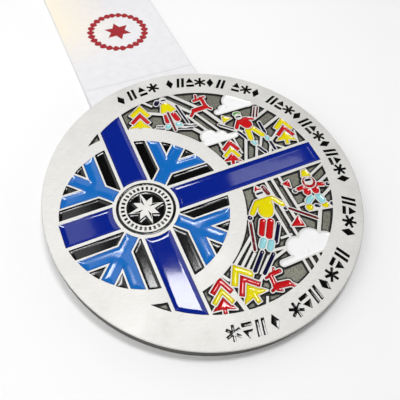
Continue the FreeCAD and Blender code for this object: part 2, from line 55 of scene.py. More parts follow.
discLow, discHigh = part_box("medal_blank")
discRadius = (discHigh.x - discLow.x) / 2
discTop = discHigh.z
lugLow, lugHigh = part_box("hanger_lug_left")
barLow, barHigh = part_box("ribbon_bar")
barY = (barLow.y + barHigh.y) / 2
barZ = (barLow.z + barHigh.z) / 2
barRadius = (barHigh.z - barLow.z) / 2
legLow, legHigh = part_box("ribbon_front_leg")
ribbonWidth = legHigh.x - legLow.x
hankLow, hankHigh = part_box("ribbon_hank")

# The disc's lower edge and the lugs stand on one flat surface, which slopes
# down towards the hank in the medal's own frame.
restSlope = math.atan2(-lugLow.z, discRadius + barY)


def onTable(y, height):  # a place along the table, and a height over it
    run = (y + discRadius) / math.cos(restSlope)
    return (y + height * math.sin(restSlope),
            -run * math.sin(restSlope) + height * math.cos(restSlope))


# camera

camera = {
    "place": (-36.1 * mm, -56.1 * mm, 108.35 * mm),
    "turn": (30.547, -4.453, -24.215),  # degrees about X, Y and Z
    "lens": 39.46,
    "sensor": 36.0,
}


def makeCamera():
    data = bpy.data.cameras.new("camera")
    data.lens = camera["lens"]
    data.sensor_width = camera["sensor"]
    data.clip_start = 1 * mm
    data.clip_end = 20.0
    cam = bpy.data.objects.new("camera", data)
    bpy.context.scene.collection.objects.link(cam)
    cam.location = camera["place"]
    cam.rotation_euler = [math.radians(a) for a in camera["turn"]]
    bpy.context.scene.camera = cam


# small helpers for node trees

def linear(hexColour):
    values = [int(hexColour[i:i + 2], 16) / 255 for i in (1, 3, 5)]
    return tuple(v / 12.92 if v <= 0.04045 else ((v + 0.055) / 1.055) ** 2.4 for v in values) + (1.0,)


def addNode(tree, kind, values=None, links=None, **settings):
    node = tree.nodes.new(kind)
    for name, value in settings.items():
        setattr(node, name, value)
    for socket, value in (values or {}).items():
        node.inputs[socket].default_value = value
    for socket, source in (links or {}).items():
        tree.links.new(source, node.inputs[socket])
    return node


def newMaterial(name, **sockets):
    material = bpy.data.materials.new(name)
    material.use_nodes = True
    shader = material.node_tree.nodes["Principled BSDF"]
    for socket, value in sockets.items():
        shader.inputs[socket.replace("_", " ")].default_value = value
    return material, material.node_tree, shader


def perMm(spacing):  # a noise scale whose features are this many millimetres apart
    return 1 / (spacing * mm)


def mixColours(tree, factor, first, second):
    node = addNode(tree, "ShaderNodeMix", links={"Factor": factor}, data_type="RGBA")
    for index, colour in ((6, first), (7, second)):
        if isinstance(colour, str):
            node.inputs[index].default_value = linear(colour)
        else:
            tree.links.new(colour, node.inputs[index])
    return node.outputs[2]


def spread(tree, value, low, high, newLow, newHigh):
    return addNode(tree, "ShaderNodeMapRange", {1: low, 2: high, 3: newLow, 4: newHigh},
                   {0: value}).outputs[0]


def bumpFrom(tree, shader, height, depth, strength=1.0):
    bump = addNode(tree, "ShaderNodeBump", {"Strength": strength, "Distance": depth * mm},
                   {"Height": height})
    tree.links.new(bump.outputs[0], shader.inputs["Normal"])


# materials

def satinNickel():
    # Nickel plate over a zinc casting, brushed in one direction with a fine belt:
    # a soft grey-white gloss, drawn out across the grain.
    values = {"colour": "#d8d7d4", "worn": "#e8e7e4", "grain": 0.14, "grainLength": 2.2, "pit": 0.4}
    material, tree, shader = newMaterial("satinNickelPlate", Metallic=1.0, Roughness=0.7)
    place = addNode(tree, "ShaderNodeTexCoord").outputs["Object"]
    along = addNode(tree, "ShaderNodeMapping",
                    {"Scale": (1 / values["grainLength"] / mm, perMm(values["grain"]), perMm(1.0))},
                    {"Vector": place})
    brushing = addNode(tree, "ShaderNodeTexNoise", {"Scale": 1.0, "Detail": 3.0, "Roughness": 0.6},
                       {"Vector": along.outputs[0]}).outputs["Fac"]
    clouds = addNode(tree, "ShaderNodeTexNoise", {"Scale": perMm(9.0), "Detail": 3.0},
                     {"Vector": place}).outputs["Fac"]
    pits = addNode(tree, "ShaderNodeTexNoise", {"Scale": perMm(values["pit"]), "Detail": 2.0},
                   {"Vector": place}).outputs["Fac"]
    shade = addNode(tree, "ShaderNodeMath", links={0: brushing, 1: clouds}, operation="MULTIPLY")
    tone = spread(tree, shade.outputs[0], 0.15, 0.36, 0.0, 1.0)
    tree.links.new(mixColours(tree, tone, values["colour"], values["worn"]), shader.inputs["Base Color"])
    tree.links.new(spread(tree, clouds, 0.3, 0.7, 0.62, 0.76), shader.inputs["Roughness"])
    height = addNode(tree, "ShaderNodeMath", {1: 0.5}, {0: brushing, 2: pits}, operation="MULTIPLY_ADD")
    bumpFrom(tree, shader, height.outputs[0], 0.012, 0.6)
    return material


def shadedEdgeNickel():
    # The disc's side: a darker, duller grey, the darkness painted shade on the side wall.
    material, tree, shader = newMaterial("platedEdgeShaded", Metallic=1.0, Roughness=0.6)
    place = addNode(tree, "ShaderNodeTexCoord").outputs["Object"]
    sideMottle = addNode(tree, "ShaderNodeTexNoise", {"Scale": perMm(0.7), "Detail": 3.0},
                   {"Vector": place}).outputs["Fac"]
    # painted shade: both side colours are darker than the plate's own
    tree.links.new(mixColours(tree, sideMottle, "#464543", "#65635f"), shader.inputs["Base Color"])
    tree.links.new(spread(tree, sideMottle, 0.3, 0.7, 0.5, 0.65), shader.inputs["Roughness"])
    bumpFrom(tree, shader, sideMottle, 0.04, 0.5)
    return material


def wallDistance(tree):  # millimetres from the nearest wall of the recess, kept in the mesh
    return addNode(tree, "ShaderNodeAttribute", attribute_name="wallDistance").outputs["Fac"]


def antiqueBlack():
    # Black stoving lacquer wiped into the struck recesses: semi-gloss where it has
    # run together, with the casting's fine grain showing through.
    values = {"colour": "#050505", "thin": "#141413", "grain": 0.35}
    material, tree, shader = newMaterial("antiqueBlackLacquer", IOR=1.5, Roughness=0.12)
    place = addNode(tree, "ShaderNodeTexCoord").outputs["Object"]
    grain = addNode(tree, "ShaderNodeTexNoise", {"Scale": perMm(values["grain"]), "Detail": 3.0},
                    {"Vector": place}).outputs["Fac"]
    tone = spread(tree, grain, 0.55, 0.75, 0.0, 1.0)
    tree.links.new(mixColours(tree, tone, values["colour"], values["thin"]), shader.inputs["Base Color"])
    tree.links.new(spread(tree, grain, 0.35, 0.65, 0.08, 0.16), shader.inputs["Roughness"])
    bumpFrom(tree, shader, grain, 0.015, 0.5)
    return material


def wipedMapGround():
    # The sand-textured ground of the picture with the black wiped off its grain:
    # grey pewter in the open, black where the lacquer pooled against the walls.
    values = {"black": "#030303", "grey": "#8d8d80", "grain": 0.28, "pool": 0.55}
    material, tree, shader = newMaterial("wipedBlackOnNickel", Metallic=0.55, Roughness=0.5)
    place = addNode(tree, "ShaderNodeTexCoord").outputs["Object"]
    grain = addNode(tree, "ShaderNodeTexNoise", {"Scale": perMm(values["grain"]), "Detail": 4.0,
                                                 "Roughness": 0.65}, {"Vector": place}).outputs["Fac"]
    patches = addNode(tree, "ShaderNodeTexNoise", {"Scale": perMm(3.5), "Detail": 2.0},
                      {"Vector": place}).outputs["Fac"]
    ragged = addNode(tree, "ShaderNodeMath", {1: 0.35}, {0: patches, 2: wallDistance(tree)},
                     operation="MULTIPLY_ADD").outputs[0]
    openGround = spread(tree, ragged, values["pool"], values["pool"] + 0.3, 0.0, 1.0)
    speckle = spread(tree, grain, 0.34, 0.58, 0.25, 1.0)
    wiped = addNode(tree, "ShaderNodeMath", links={0: openGround, 1: speckle}, operation="MULTIPLY")
    tree.links.new(mixColours(tree, wiped.outputs[0], values["black"], values["grey"]),
                   shader.inputs["Base Color"])
    bumpFrom(tree, shader, grain, 0.05, 0.7)
    return material


def softEnamel(name, colour, mottleAndShadeTone, haze=0.07):
    # Soft enamel: epoxy colour baked in a recess. It stands a little higher at the
    # metal lines, and its surface is as glossy as varnish. Towards the metal lines its
    # colour runs into a darker tone, which is painted shade, and a random mottle adds a little of it.
    material, tree, shader = newMaterial(name, IOR=1.5, Roughness=haze)
    place = addNode(tree, "ShaderNodeTexCoord").outputs["Object"]
    mottle = addNode(tree, "ShaderNodeTexNoise", {"Scale": perMm(2.2), "Detail": 3.0},
                     {"Vector": place}).outputs["Fac"]
    ripple = addNode(tree, "ShaderNodeTexNoise", {"Scale": perMm(4.0), "Detail": 1.0},
                     {"Vector": place}).outputs["Fac"]
    # painted shade: the colour runs to the darker tone within 0.35 mm of the walls
    rimShade = spread(tree, wallDistance(tree), 0.0, 0.35, 1.0, 0.0)
    tone = addNode(tree, "ShaderNodeMath", {1: 0.35}, {0: mottle, 2: rimShade}, operation="MULTIPLY_ADD",
                   use_clamp=True)
    # the mix towards the darker tone: mostly the painted shade at the walls, partly random mottle
    depth = spread(tree, tone.outputs[0], 0.15, 1.2, 0.0, 1.0)
    tree.links.new(mixColours(tree, depth, colour, mottleAndShadeTone), shader.inputs["Base Color"])
    tree.links.new(spread(tree, mottle, 0.3, 0.7, haze * 0.8, haze * 1.3), shader.inputs["Roughness"])
    bumpFrom(tree, shader, ripple, 0.02, 0.5)
    return material


def drawnSteel():
    # Bright drawn steel rod, with faint lines along the draw.
    material, tree, shader = newMaterial("drawnSteel", Metallic=1.0, Roughness=0.25)
    place = addNode(tree, "ShaderNodeTexCoord").outputs["Object"]
    along = addNode(tree, "ShaderNodeMapping", {"Scale": (perMm(6.0), perMm(0.12), perMm(0.12))},
                    {"Vector": place})
    lines = addNode(tree, "ShaderNodeTexNoise", {"Scale": 1.0, "Detail": 2.0},
                    {"Vector": along.outputs[0]}).outputs["Fac"]
    tree.links.new(mixColours(tree, lines, "#a9a8a4", "#cfcecb"), shader.inputs["Base Color"])
    tree.links.new(spread(tree, lines, 0.3, 0.7, 0.2, 0.34), shader.inputs["Roughness"])
    bumpFrom(tree, shader, lines, 0.01, 0.5)
    return material


def softSolder():
    # Tin solder as it froze: dull grey, slightly crystalline.
    material, tree, shader = newMaterial("softSolder", Metallic=1.0, Roughness=0.45)
    place = addNode(tree, "ShaderNodeTexCoord").outputs["Object"]
    crystals = addNode(tree, "ShaderNodeTexVoronoi", {"Scale": perMm(0.6)}, {"Vector": place})
    tree.links.new(mixColours(tree, crystals.outputs["Distance"], "#8f9091", "#b7b7b4"),
                   shader.inputs["Base Color"])
    bumpFrom(tree, shader, crystals.outputs["Distance"], 0.03, 0.5)
    return material


ribbonPrint = {
    "cloth": "#e3e2e5",
    "thread": "#efeef0",
    "warm": "#fdf2dc",
    # the grey of the painted shade at the crease, also used towards both edges
    "creaseShadeAndEdgeGrey": "#c9c9d2",
    "red": "#a00016",
    "motifX": 1.1,        # millimetres from the ribbon's middle
    "motifY": 82.1,       # its middle's Y on the front leg
    "motifEvery": 118.0,  # the print repeats along the ribbon
    "wreathRadius": 10.2,
    "leafWidth": 1.0,
    "leaves": 26,
    "starRadius": 5.2,
    "starSlant": 1.12,    # radians from a point to the middle of its edge
    "washAlong": (-16.0, 6.0),   # where the warm wash starts and is full, from the motif
    "washAcross": (4.0, -19.0),  # and across the ribbon
    "washShare": 0.85,
    "ribSpacing": 0.55,
    "threadSpacing": 0.4,
}


def wovenRibbon(name, printed, creaseAlong, motifAlong=0.0):
    # Polyester ribbon of fine ribbed weave: the filling threads make close ribs
    # across it and the print is dyed in. The ribs are drawn about as wide as two
    # real ones, so that they show.
    material, tree, shader = newMaterial(name, Roughness=0.62, Sheen_Weight=0.06, Sheen_Roughness=0.4,
                                         IOR=1.5)
    cloth = addNode(tree, "ShaderNodeUVMap", uv_map="cloth").outputs[0]
    axes = addNode(tree, "ShaderNodeSeparateXYZ", links={0: cloth}).outputs
    ribs = addNode(tree, "ShaderNodeTexWave", {"Scale": 1 / ribbonPrint["ribSpacing"] / 3.2,
                                               "Distortion": 0.6, "Detail": 2.0, "Detail Scale": 3.0},
                   {"Vector": cloth}, bands_direction="Y").outputs["Fac"]
    threads = addNode(tree, "ShaderNodeTexWave", {"Scale": 1 / ribbonPrint["threadSpacing"] / 3.2,
                                                  "Distortion": 0.4},
                      {"Vector": cloth}, bands_direction="X").outputs["Fac"]
    weave = addNode(tree, "ShaderNodeMath", {1: 0.4}, {0: threads, 2: ribs}, operation="MULTIPLY_ADD")
    slub = addNode(tree, "ShaderNodeTexNoise", {"Scale": 0.35, "Detail": 3.0}, {"Vector": cloth})
    tone = addNode(tree, "ShaderNodeMath", {1: 0.5}, {0: weave.outputs[0], 2: slub.outputs["Fac"]},
                   operation="MULTIPLY_ADD").outputs[0]
    ground = mixColours(tree, spread(tree, tone, 0.4, 1.1, 0.0, 1.0), ribbonPrint["cloth"],
                        ribbonPrint["thread"])
    if printed:
        ground = printMotif(tree, axes, ground, motifAlong)
    offCrease = addNode(tree, "ShaderNodeMath", {1: creaseAlong}, {0: axes["Y"]},
                        operation="SUBTRACT").outputs[0]
    offCrease = addNode(tree, "ShaderNodeMath", links={0: offCrease}, operation="ABSOLUTE").outputs[0]
    ridge = spread(tree, offCrease, 0.0, 0.7, 4.0, 0.0)
    fromMiddle = addNode(tree, "ShaderNodeMath", links={0: axes["X"]}, operation="ABSOLUTE").outputs[0]
    edge = ribbonWidth / mm / 2
    selvedge = spread(tree, fromMiddle, edge - 0.5, edge - 0.1, 0.0, 0.55)
    # painted shade: a narrow grey band along the crease; the cloth also greys towards both edges
    crease = spread(tree, offCrease, 0.25, 0.55, 0.3, 0.0)
    shade = addNode(tree, "ShaderNodeMath", links={0: selvedge, 1: crease}, operation="MAXIMUM").outputs[0]
    ground = mixColours(tree, shade, ground, ribbonPrint["creaseShadeAndEdgeGrey"])
    tree.links.new(ground, shader.inputs["Base Color"])
    height = addNode(tree, "ShaderNodeMath", links={0: weave.outputs[0], 1: ridge}, operation="ADD")
    bumpFrom(tree, shader, height.outputs[0], 0.05, 0.5)
    return material


def printMotif(tree, axes, ground, motifAlong):
    # a ring of leaves round a six-pointed star, in red, on a faint warm wash
    def maths(operation, first, second=None, third=None, clamp=False):
        node = addNode(tree, "ShaderNodeMath", operation=operation, use_clamp=clamp)
        for index, value in enumerate((first, second, third)):
            if isinstance(value, (int, float)):
                node.inputs[index].default_value = value
            elif value is not None:
                tree.links.new(value, node.inputs[index])
        return node.outputs[0]

    every = ribbonPrint["motifEvery"]
    across = maths("SUBTRACT", axes["X"], ribbonPrint["motifX"])
    shifted = maths("ADD", maths("SUBTRACT", axes["Y"], motifAlong), every * 20.5)
    along = maths("SUBTRACT", maths("MODULO", shifted, every), every / 2)
    radius = maths("SQRT", maths("ADD", maths("MULTIPLY", across, across), maths("MULTIPLY", along, along)))
    turn = maths("ARCTAN2", across, along)
    share = maths("FRACT", maths("MULTIPLY_ADD", maths("ABSOLUTE", turn),
                                 ribbonPrint["leaves"] / 2 / math.pi, 0.02))
    halfLeaf = maths("MULTIPLY", maths("SINE", maths("MULTIPLY", maths("POWER", share, 0.7), math.pi)),
                     ribbonPrint["leafWidth"])
    offRing = maths("ABSOLUTE", maths("SUBTRACT", radius, ribbonPrint["wreathRadius"]))
    soft = 0.08  # half the width of a shape's dyed edge
    leaf = spread(tree, maths("SUBTRACT", maths("ADD", halfLeaf, 0.4), offRing), -soft, soft, 0.0, 1.0)
    slant = ribbonPrint["starSlant"]
    sector = maths("PINGPONG", turn, math.pi / 6)
    pointed = maths("MULTIPLY", radius, maths("COSINE", maths("SUBTRACT", slant, sector)))
    star = spread(tree, maths("SUBTRACT", ribbonPrint["starRadius"] * math.cos(slant), pointed),
                  -soft, soft, 0.0, 1.0)
    wash = maths("MULTIPLY", spread(tree, along, *ribbonPrint["washAlong"], 0.0, 1.0),
                 spread(tree, axes["X"], *ribbonPrint["washAcross"], 0.0, ribbonPrint["washShare"]))
    tinted = mixColours(tree, wash, ground, ribbonPrint["warm"])
    return mixColours(tree, maths("MAXIMUM", leaf, star), tinted, ribbonPrint["red"])


def knittedElastic():
    # White braided elastic: cords of rubber in knitted thread, whose stitches slant
    # one way and then the other.
    values = {"stitch": 0.7, "slant": 0.45, "hollow": "#c9c7c2", "thread": "#f4f3f0"}
    material, tree, shader = newMaterial("braidedElastic", Roughness=0.7, Sheen_Weight=0.2, IOR=1.5)
    cloth = addNode(tree, "ShaderNodeUVMap", uv_map="cloth").outputs[0]
    axes = addNode(tree, "ShaderNodeSeparateXYZ", links={0: cloth}).outputs
    slanted = addNode(tree, "ShaderNodeMath", {1: tie["width"] / tie["cords"]}, {0: axes["X"]},
                      operation="PINGPONG").outputs[0]
    place = addNode(tree, "ShaderNodeMath", {1: values["slant"]}, {0: slanted, 2: axes["Y"]},
                    operation="MULTIPLY_ADD").outputs[0]
    turn = addNode(tree, "ShaderNodeMath", {1: 2 * math.pi / values["stitch"]}, {0: place},
                   operation="MULTIPLY").outputs[0]
    stitch = addNode(tree, "ShaderNodeMath", links={0: turn}, operation="SINE").outputs[0]
    height = spread(tree, stitch, -1.0, 1.0, 0.0, 1.0)
    # painted shade: the white thread is greyed in the low hollows between the stitches
    tree.links.new(mixColours(tree, height, values["hollow"], values["thread"]),
                   shader.inputs["Base Color"])
    bumpFrom(tree, shader, height, 0.12, 0.7)
    return material


def sewingThread():
    # Spun polyester thread, two-ply, with a slight lustre.
    material, tree, shader = newMaterial("spunThread", Roughness=0.6, Sheen_Weight=0.3, IOR=1.5)
    place = addNode(tree, "ShaderNodeTexCoord").outputs["Object"]
    ply = addNode(tree, "ShaderNodeTexWave", {"Scale": perMm(0.3) / 3.2, "Distortion": 1.0},
                  {"Vector": place}, bands_direction="DIAGONAL").outputs["Fac"]
    tree.links.new(mixColours(tree, ply, "#e3e1dd", "#f7f6f4"), shader.inputs["Base Color"])
    bumpFrom(tree, shader, ply, 0.05, 0.6)
    return material


def paleTable():
    material, tree, shader = newMaterial("paleLaminate", Roughness=0.6, IOR=1.45)
    place = addNode(tree, "ShaderNodeTexCoord").outputs["Object"]
    mottle = addNode(tree, "ShaderNodeTexNoise", {"Scale": perMm(30.0)}, {"Vector": place})
    tree.links.new(mixColours(tree, mottle.outputs["Fac"], "#f8f8f8", "#fafafa"),
                   shader.inputs["Base Color"])
    return material


# meshes from flat outlines

def flatLoops(node, height):
    # The outlines of a node's faces that lie flat at this height. Each loop of
    # points runs with the face on its left.
    mesh = node.data
    keys = {}
    places = []
    index = []
    for v in mesh.vertices:
        key = (round(v.co.x * 1e7), round(v.co.y * 1e7), round(v.co.z * 1e7))
        if key not in keys:
            keys[key] = len(places)
            places.append(v.co)
        index.append(keys[key])
    sides = set()
    for polygon in mesh.polygons:
        corners = [index[i] for i in polygon.vertices]
        if polygon.normal.z > 0.99 and all(abs(places[i].z - height) < 0.002 * mm for i in corners):
            sides |= set(zip(corners, corners[1:] + corners[:1]))
    following = {}
    for a, b in sorted(sides):
        if a != b and (b, a) not in sides:
            following.setdefault(a, []).append(b)
    loops = []
    while following:
        start = point = next(iter(following))
        loop = []
        while point in following:
            loop.append(point)
            after = following[point].pop()
            if not following[point]:
                del following[point]
            point = after
        if point == start and len(loop) > 2:
            loops.append(np.array([places[i].xy for i in loop]))
    return loops


def loopSides(loops):
    starts = np.concatenate(loops)
    ends = np.concatenate([np.roll(loop, -1, axis=0) for loop in loops])
    return starts, ends


def distanceTo(points, starts, ends):
    best = np.full(len(points), 1.0)
    sides = ends - starts
    lengths = np.maximum((sides ** 2).sum(1), 1e-18)
    for first in range(0, len(points), 400):
        part = points[first:first + 400, None, :]
        share = np.clip(((part - starts) * sides).sum(2) / lengths, 0, 1)
        nearest = starts + share[..., None] * sides
        best[first:first + 400] = np.sqrt(((part - nearest) ** 2).sum(2)).min(1)
    return best


def fillLoops(loops, spacing=None, clearance=0.0):
    # Triangles that fill the loops, with extra points in their midst.
    points = [tuple(p) for loop in loops for p in loop]
    edges = []
    for loop in loops:
        first = len(edges)
        edges += [(first + i, first + (i + 1) % len(loop)) for i in range(len(loop))]
    if spacing:
        low, high = np.min(points, axis=0), np.max(points, axis=0)
        rows = np.arange(low[1], high[1], spacing * 0.866)
        columns = np.arange(low[0], high[0], spacing)
        grid = np.array([(x + (i % 2) * spacing / 2, y) for i, y in enumerate(rows) for x in columns])
        grid = grid[distanceTo(grid, *loopSides(loops)) > clearance]
        points += [tuple(p) for p in grid]
    found = delaunay_2d_cdt([Vector(p) for p in points], edges, [], 1, 1e-8)
    vertices, triangles = np.array([tuple(v) for v in found[0]]), found[2]
    walls = {tuple(sorted(edge)) for edge, olds in zip(found[1], found[4]) if olds}
    owner = {side: t for t, c in enumerate(triangles) for side in zip(c, c[1:] + c[:1])}
    starts, ends = loopSides(loops)
    kept, seen = [], set()
    for first in range(len(triangles)):
        region, waiting = [], [first]
        while waiting:
            t = waiting.pop()
            if t in seen:
                continue
            seen.add(t)
            region.append(t)
            c = triangles[t]
            waiting += [owner[b, a] for a, b in zip(c, c[1:] + c[:1])
                        if tuple(sorted((a, b))) not in walls and (b, a) in owner]
        if region and timesRound(largestMiddle(vertices, [triangles[t] for t in region]), starts, ends) > 0:
            kept += [list(triangles[t]) for t in region]
    return vertices, kept


def largestMiddle(points, triangles):  # the middle of the largest of some triangles
    a, b, c = (points[[t[i] for t in triangles]] for i in range(3))
    areas = (b - a)[:, 0] * (c - a)[:, 1] - (b - a)[:, 1] * (c - a)[:, 0]
    return ((a + b + c) / 3)[np.argmax(areas)]


def timesRound(point, starts, ends):  # how often the loops run round a point
    ax, ay, bx, by = starts[:, 0], starts[:, 1], ends[:, 0], ends[:, 1]
    x, y = point
    left = (bx - ax) * (y - ay) - (x - ax) * (by - ay)
    return np.sum((ay <= y) & (by > y) & (left > 0)) - np.sum((ay > y) & (by <= y) & (left < 0))


def meshObject(name, vertices, faces, material, wallDistances=None):
    mesh = bpy.data.meshes.new(name)
    mesh.from_pydata([tuple(v) for v in vertices], [], faces)
    mesh.update()
    if wallDistances is not None:
        mesh.attributes.new("wallDistance", "FLOAT", "POINT").data.foreach_set("value", wallDistances)
    mesh.materials.append(material)
    piece = bpy.data.objects.new(name, mesh)
    bpy.context.scene.collection.objects.link(piece)
    mesh.shade_smooth()
    return piece


# the fills

fills = {
    "spacing": 0.42,  # of the points inside a fill, in millimetres
    "floor": 3.0,
    # the level in the middle, how far from a wall the creep starts, how high it climbs,
    # and how much the middle sinks for each millimetre from the wall
    "cross": (3.66, 0.95, 3.93, 0.0),
    "flake": (3.72, 0.75, 3.93, 0.06),
    "picture": (3.74, 0.42, 3.93, 0.0),
    "emblem": (3.14, 0.35, 3.27, 0.0),
    "compass": (3.3, 0.2, 3.4, 0.0),
    "map": (3.46, 0.25, 3.55, 0.0),
    "rimMark": (3.61, 0.2, 3.68, 0.0),
}


def creep(distance, level, width, top):
    # The meniscus: level in the middle, then a straight slope up to the wall.
    soft = 0.07
    run = (width - distance) / soft
    slope = np.where(run > 30, run, np.log1p(np.exp(np.minimum(run, 30)))) * soft
    return level + (top - level) * slope / width


def makeFill(name, nodeName, material, kind):
    level, width, top, hollow = fills[kind]
    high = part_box(nodeName)[1]
    loops = flatLoops(cadNodes[nodeName], high.z)
    spacing = fills["spacing"] * mm
    points, triangles = fillLoops(loops, spacing, spacing * 0.3)
    distances = distanceTo(points, *loopSides(loops)) / mm
    heights = creep(distances, level, width, top) - hollow * np.minimum(distances, 3.0)
    count = len(points)
    upper = np.column_stack([points, heights * mm])
    lower = np.column_stack([points, np.full(count, fills["floor"] * mm)])
    faces = triangles + [[i + count for i in reversed(t)] for t in triangles]
    sides = {(t[i], t[(i + 1) % 3]) for t in triangles for i in range(3)}
    faces += [[a + count, b + count, b, a] for a, b in sorted(sides) if (b, a) not in sides]
    piece = meshObject(name, np.concatenate([upper, lower]), faces, material,
                       np.concatenate([distances, distances]))
    piece.data.set_sharp_from_angle(angle=math.radians(50))
    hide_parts(nodeName)
    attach(piece, "medal")
    return piece


# each enamel: its colour, and the darker tone used for painted shade at the walls and a little random
# mottle
enamelColours = {
    "darkBlueEnamel": ("#082289", "#06115c"),
    "lightBlueEnamel": ("#0d69bc", "#0a4c93", 0.15),
    "yellowEnamel": ("#e6d90a", "#bb9c00"),
    "redEnamel": ("#c8181d", "#860a10"),
    "maroonEnamel": ("#7a1420", "#4c0a12"),
    "navyEnamel": ("#10103c", "#080820"),
    "paleBlueEnamel": ("#9bd6dc", "#6db4bf"),
    "greenEnamel": ("#66b638", "#3f8a20"),
    "whiteEnamel": ("#f7f7f7", "#dcdcdc"),
}


def makeFills(lacquer):
    enamels = {name: softEnamel(name, *tones) for name, tones in enamelColours.items()}
    for side in ("left", "right", "top", "bottom"):
        makeFill("crossEnamel" + side.title(), "cross_enamel_" + side, enamels["darkBlueEnamel"],
                 "cross")
    for side in ("upper_right", "upper_left", "lower_left", "lower_right"):
        makeFill("flakeEnamel" + side.title().replace("_", ""), "flake_enamel_" + side,
                 enamels["lightBlueEnamel"], "flake")
    pictureColours = {"yellow": "yellowEnamel", "red": "redEnamel", "maroon": "maroonEnamel",
                      "navy": "navyEnamel", "paleblue": "paleBlueEnamel", "green": "greenEnamel",
                      "white": "whiteEnamel"}
    for colour, enamel in pictureColours.items():
        makeFill(colour + "PictureEnamel", colour + "_enamel", enamels[enamel],
                 "picture")
    makeFill("emblemLacquer", "emblem_black_paint", lacquer, "emblem")
    makeFill("compassLacquer", "compass_black_paint", lacquer, "compass")
    makeFill("mapGround", "map_grey_wash", wipedMapGround(), "map")
    makeFill("rimMarkLacquer", "rim_mark_paint", lacquer, "rimMark")


# the disc

disc = {
    "lineRound": 0.055,   # how far the top of each raised line is rounded
    "roundSteps": 3,
    "edgeRound": 0.35,    # the disc's own corners
    "cornerSteps": 6,
    "shadedRings": (4, 9),  # the side is painted darker, as shade, between these rings of the profile
    "turns": 360,
    "topSpacing": 2.0,
    "grooveOuter": 21.0,
    "grooveInner": 20.2,
    "grooveDepth": 0.3,
}


def shifted(loop, distance):
    # the loop moved to its left by this distance, with long corners cut short
    before = loop - np.roll(loop, 1, axis=0)
    before /= np.maximum(np.linalg.norm(before, axis=1, keepdims=True), 1e-12)
    after = np.roll(before, -1, axis=0)
    normals = np.column_stack([-before[:, 1] - after[:, 1], before[:, 0] + after[:, 0]])
    along = 1 + (before * after).sum(1, keepdims=True)
    return loop + normals / np.maximum(along, 0.35) * distance


def ringFaces(first, second, count):  # quads between two closed rings of vertices
    return [[first + i, first + (i + 1) % count, second + (i + 1) % count, second + i]
            for i in range(count)]


def makeBlank(nickel, lacquer, edgeShade):
    loops = flatLoops(cadNodes["medal_blank"], discTop)
    loops.sort(key=lambda loop: -np.ptp(loop[:, 0]))
    turns = disc["turns"]
    angles = np.arange(turns) * 2 * math.pi / turns
    circle = np.column_stack([np.cos(angles), np.sin(angles)])
    vertices, faces, blackFaces, sideFaces = [], [], 0, []

    walls = []
    topLoops = [circle * (discRadius - disc["edgeRound"] * mm)]
    radius = disc["lineRound"] * mm
    for loop in loops[1:]:
        rings = [(loop, fills["floor"] * mm)]
        for step in range(disc["roundSteps"] + 1):
            angle = math.pi / 2 * step / disc["roundSteps"]
            rings.append((shifted(loop, radius * (1 - math.cos(angle))),
                          discTop - radius * (1 - math.sin(angle))))
        walls.append(rings)
        topLoops.append(rings[-1][0])
    for part in ("wall", "edge"):
        for rings in walls:
            pairs = list(zip(rings, rings[1:]))
            for (low, lowZ), (high, highZ) in pairs[:1] if part == "wall" else pairs[1:]:
                first = len(vertices)
                vertices += [(x, y, lowZ) for x, y in low] + [(x, y, highZ) for x, y in high]
                faces += [face[::-1] for face in ringFaces(first, first + len(low), len(low))]
        if part == "wall":
            floor, triangles = fillLoops(loops[1:])
            first = len(vertices)
            vertices += [(x, y, fills["floor"] * mm) for x, y in floor]
            faces += [[first + i for i in t] for t in triangles]
            blackFaces = len(faces)
    top, triangles = fillLoops(topLoops, disc["topSpacing"] * mm, 0.3 * mm)
    first = len(vertices)
    vertices += [(x, y, discTop) for x, y in top]
    faces += [[first + i for i in t] for t in triangles]

    corner = disc["edgeRound"]
    outer, level = discRadius / mm, discTop / mm
    bends = [math.pi / 2 * step / disc["cornerSteps"] for step in range(disc["cornerSteps"] + 1)]
    profile = [(outer - corner + corner * math.sin(bend), level - corner + corner * math.cos(bend))
               for bend in bends]
    profile += [(outer - corner + corner * math.cos(bend), corner - corner * math.sin(bend))
                for bend in bends]
    profile += [(disc["grooveOuter"], 0.0), (disc["grooveOuter"], disc["grooveDepth"]),
                (disc["grooveInner"], disc["grooveDepth"]), (disc["grooveInner"], 0.0)]
    first = len(vertices)
    for r, z in profile:
        vertices += [(x * r * mm, y * r * mm, z * mm) for x, y in circle]
    for step in range(len(profile) - 1):
        if step in disc["shadedRings"]:
            sideFaces.append(len(faces))
        faces += [face[::-1] for face in ringFaces(first + step * turns, first + (step + 1) * turns, turns)]
    last = first + (len(profile) - 1) * turns
    vertices.append((0, 0, 0))
    faces += [[last + (i + 1) % turns, last + i, len(vertices) - 1] for i in range(turns)]

    piece = meshObject("medalBlank", vertices, faces, nickel)
    piece.data.materials.append(lacquer)
    piece.data.materials.append(edgeShade)
    # the side between those rings takes the darker edge material, which is painted shade
    piece.data.polygons.foreach_set("material_index", [
        1 if i < blackFaces else 2 if sideFaces[0] <= i < sideFaces[1] else 0 for i in range(len(faces))])
    bm = bmesh.new()
    bm.from_mesh(piece.data)
    bmesh.ops.remove_doubles(bm, verts=bm.verts, dist=0.0005 * mm)
    bm.to_mesh(piece.data)
    bm.free()
    piece.data.set_sharp_from_angle(angle=math.radians(40))
    weighted = piece.modifiers.new("flatTop", "WEIGHTED_NORMAL")
    weighted.keep_sharp = True
    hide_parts("medal_blank")
    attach(piece, "medal")


# the hanger

def makeHanger(nickel):
    steel = drawnSteel()
    for name, material in (("hanger_lug_left", nickel), ("hanger_lug_right", nickel),
                           ("ribbon_bar", steel)):
        node = cadNodes[name]
        node.data.materials.clear()
        node.data.materials.append(material)
        weld = node.modifiers.new("weld", "WELD")
        weld.merge_threshold = 0.001 * mm
        bevel = node.modifiers.new("brokenEdges", "BEVEL")
        bevel.width = 0.12 * mm
        bevel.segments = 2
        bevel.limit_method = "ANGLE"
        bevel.angle_limit = math.radians(40)
        bevel.harden_normals = True
        node.data.shade_smooth()
    makeSolder()


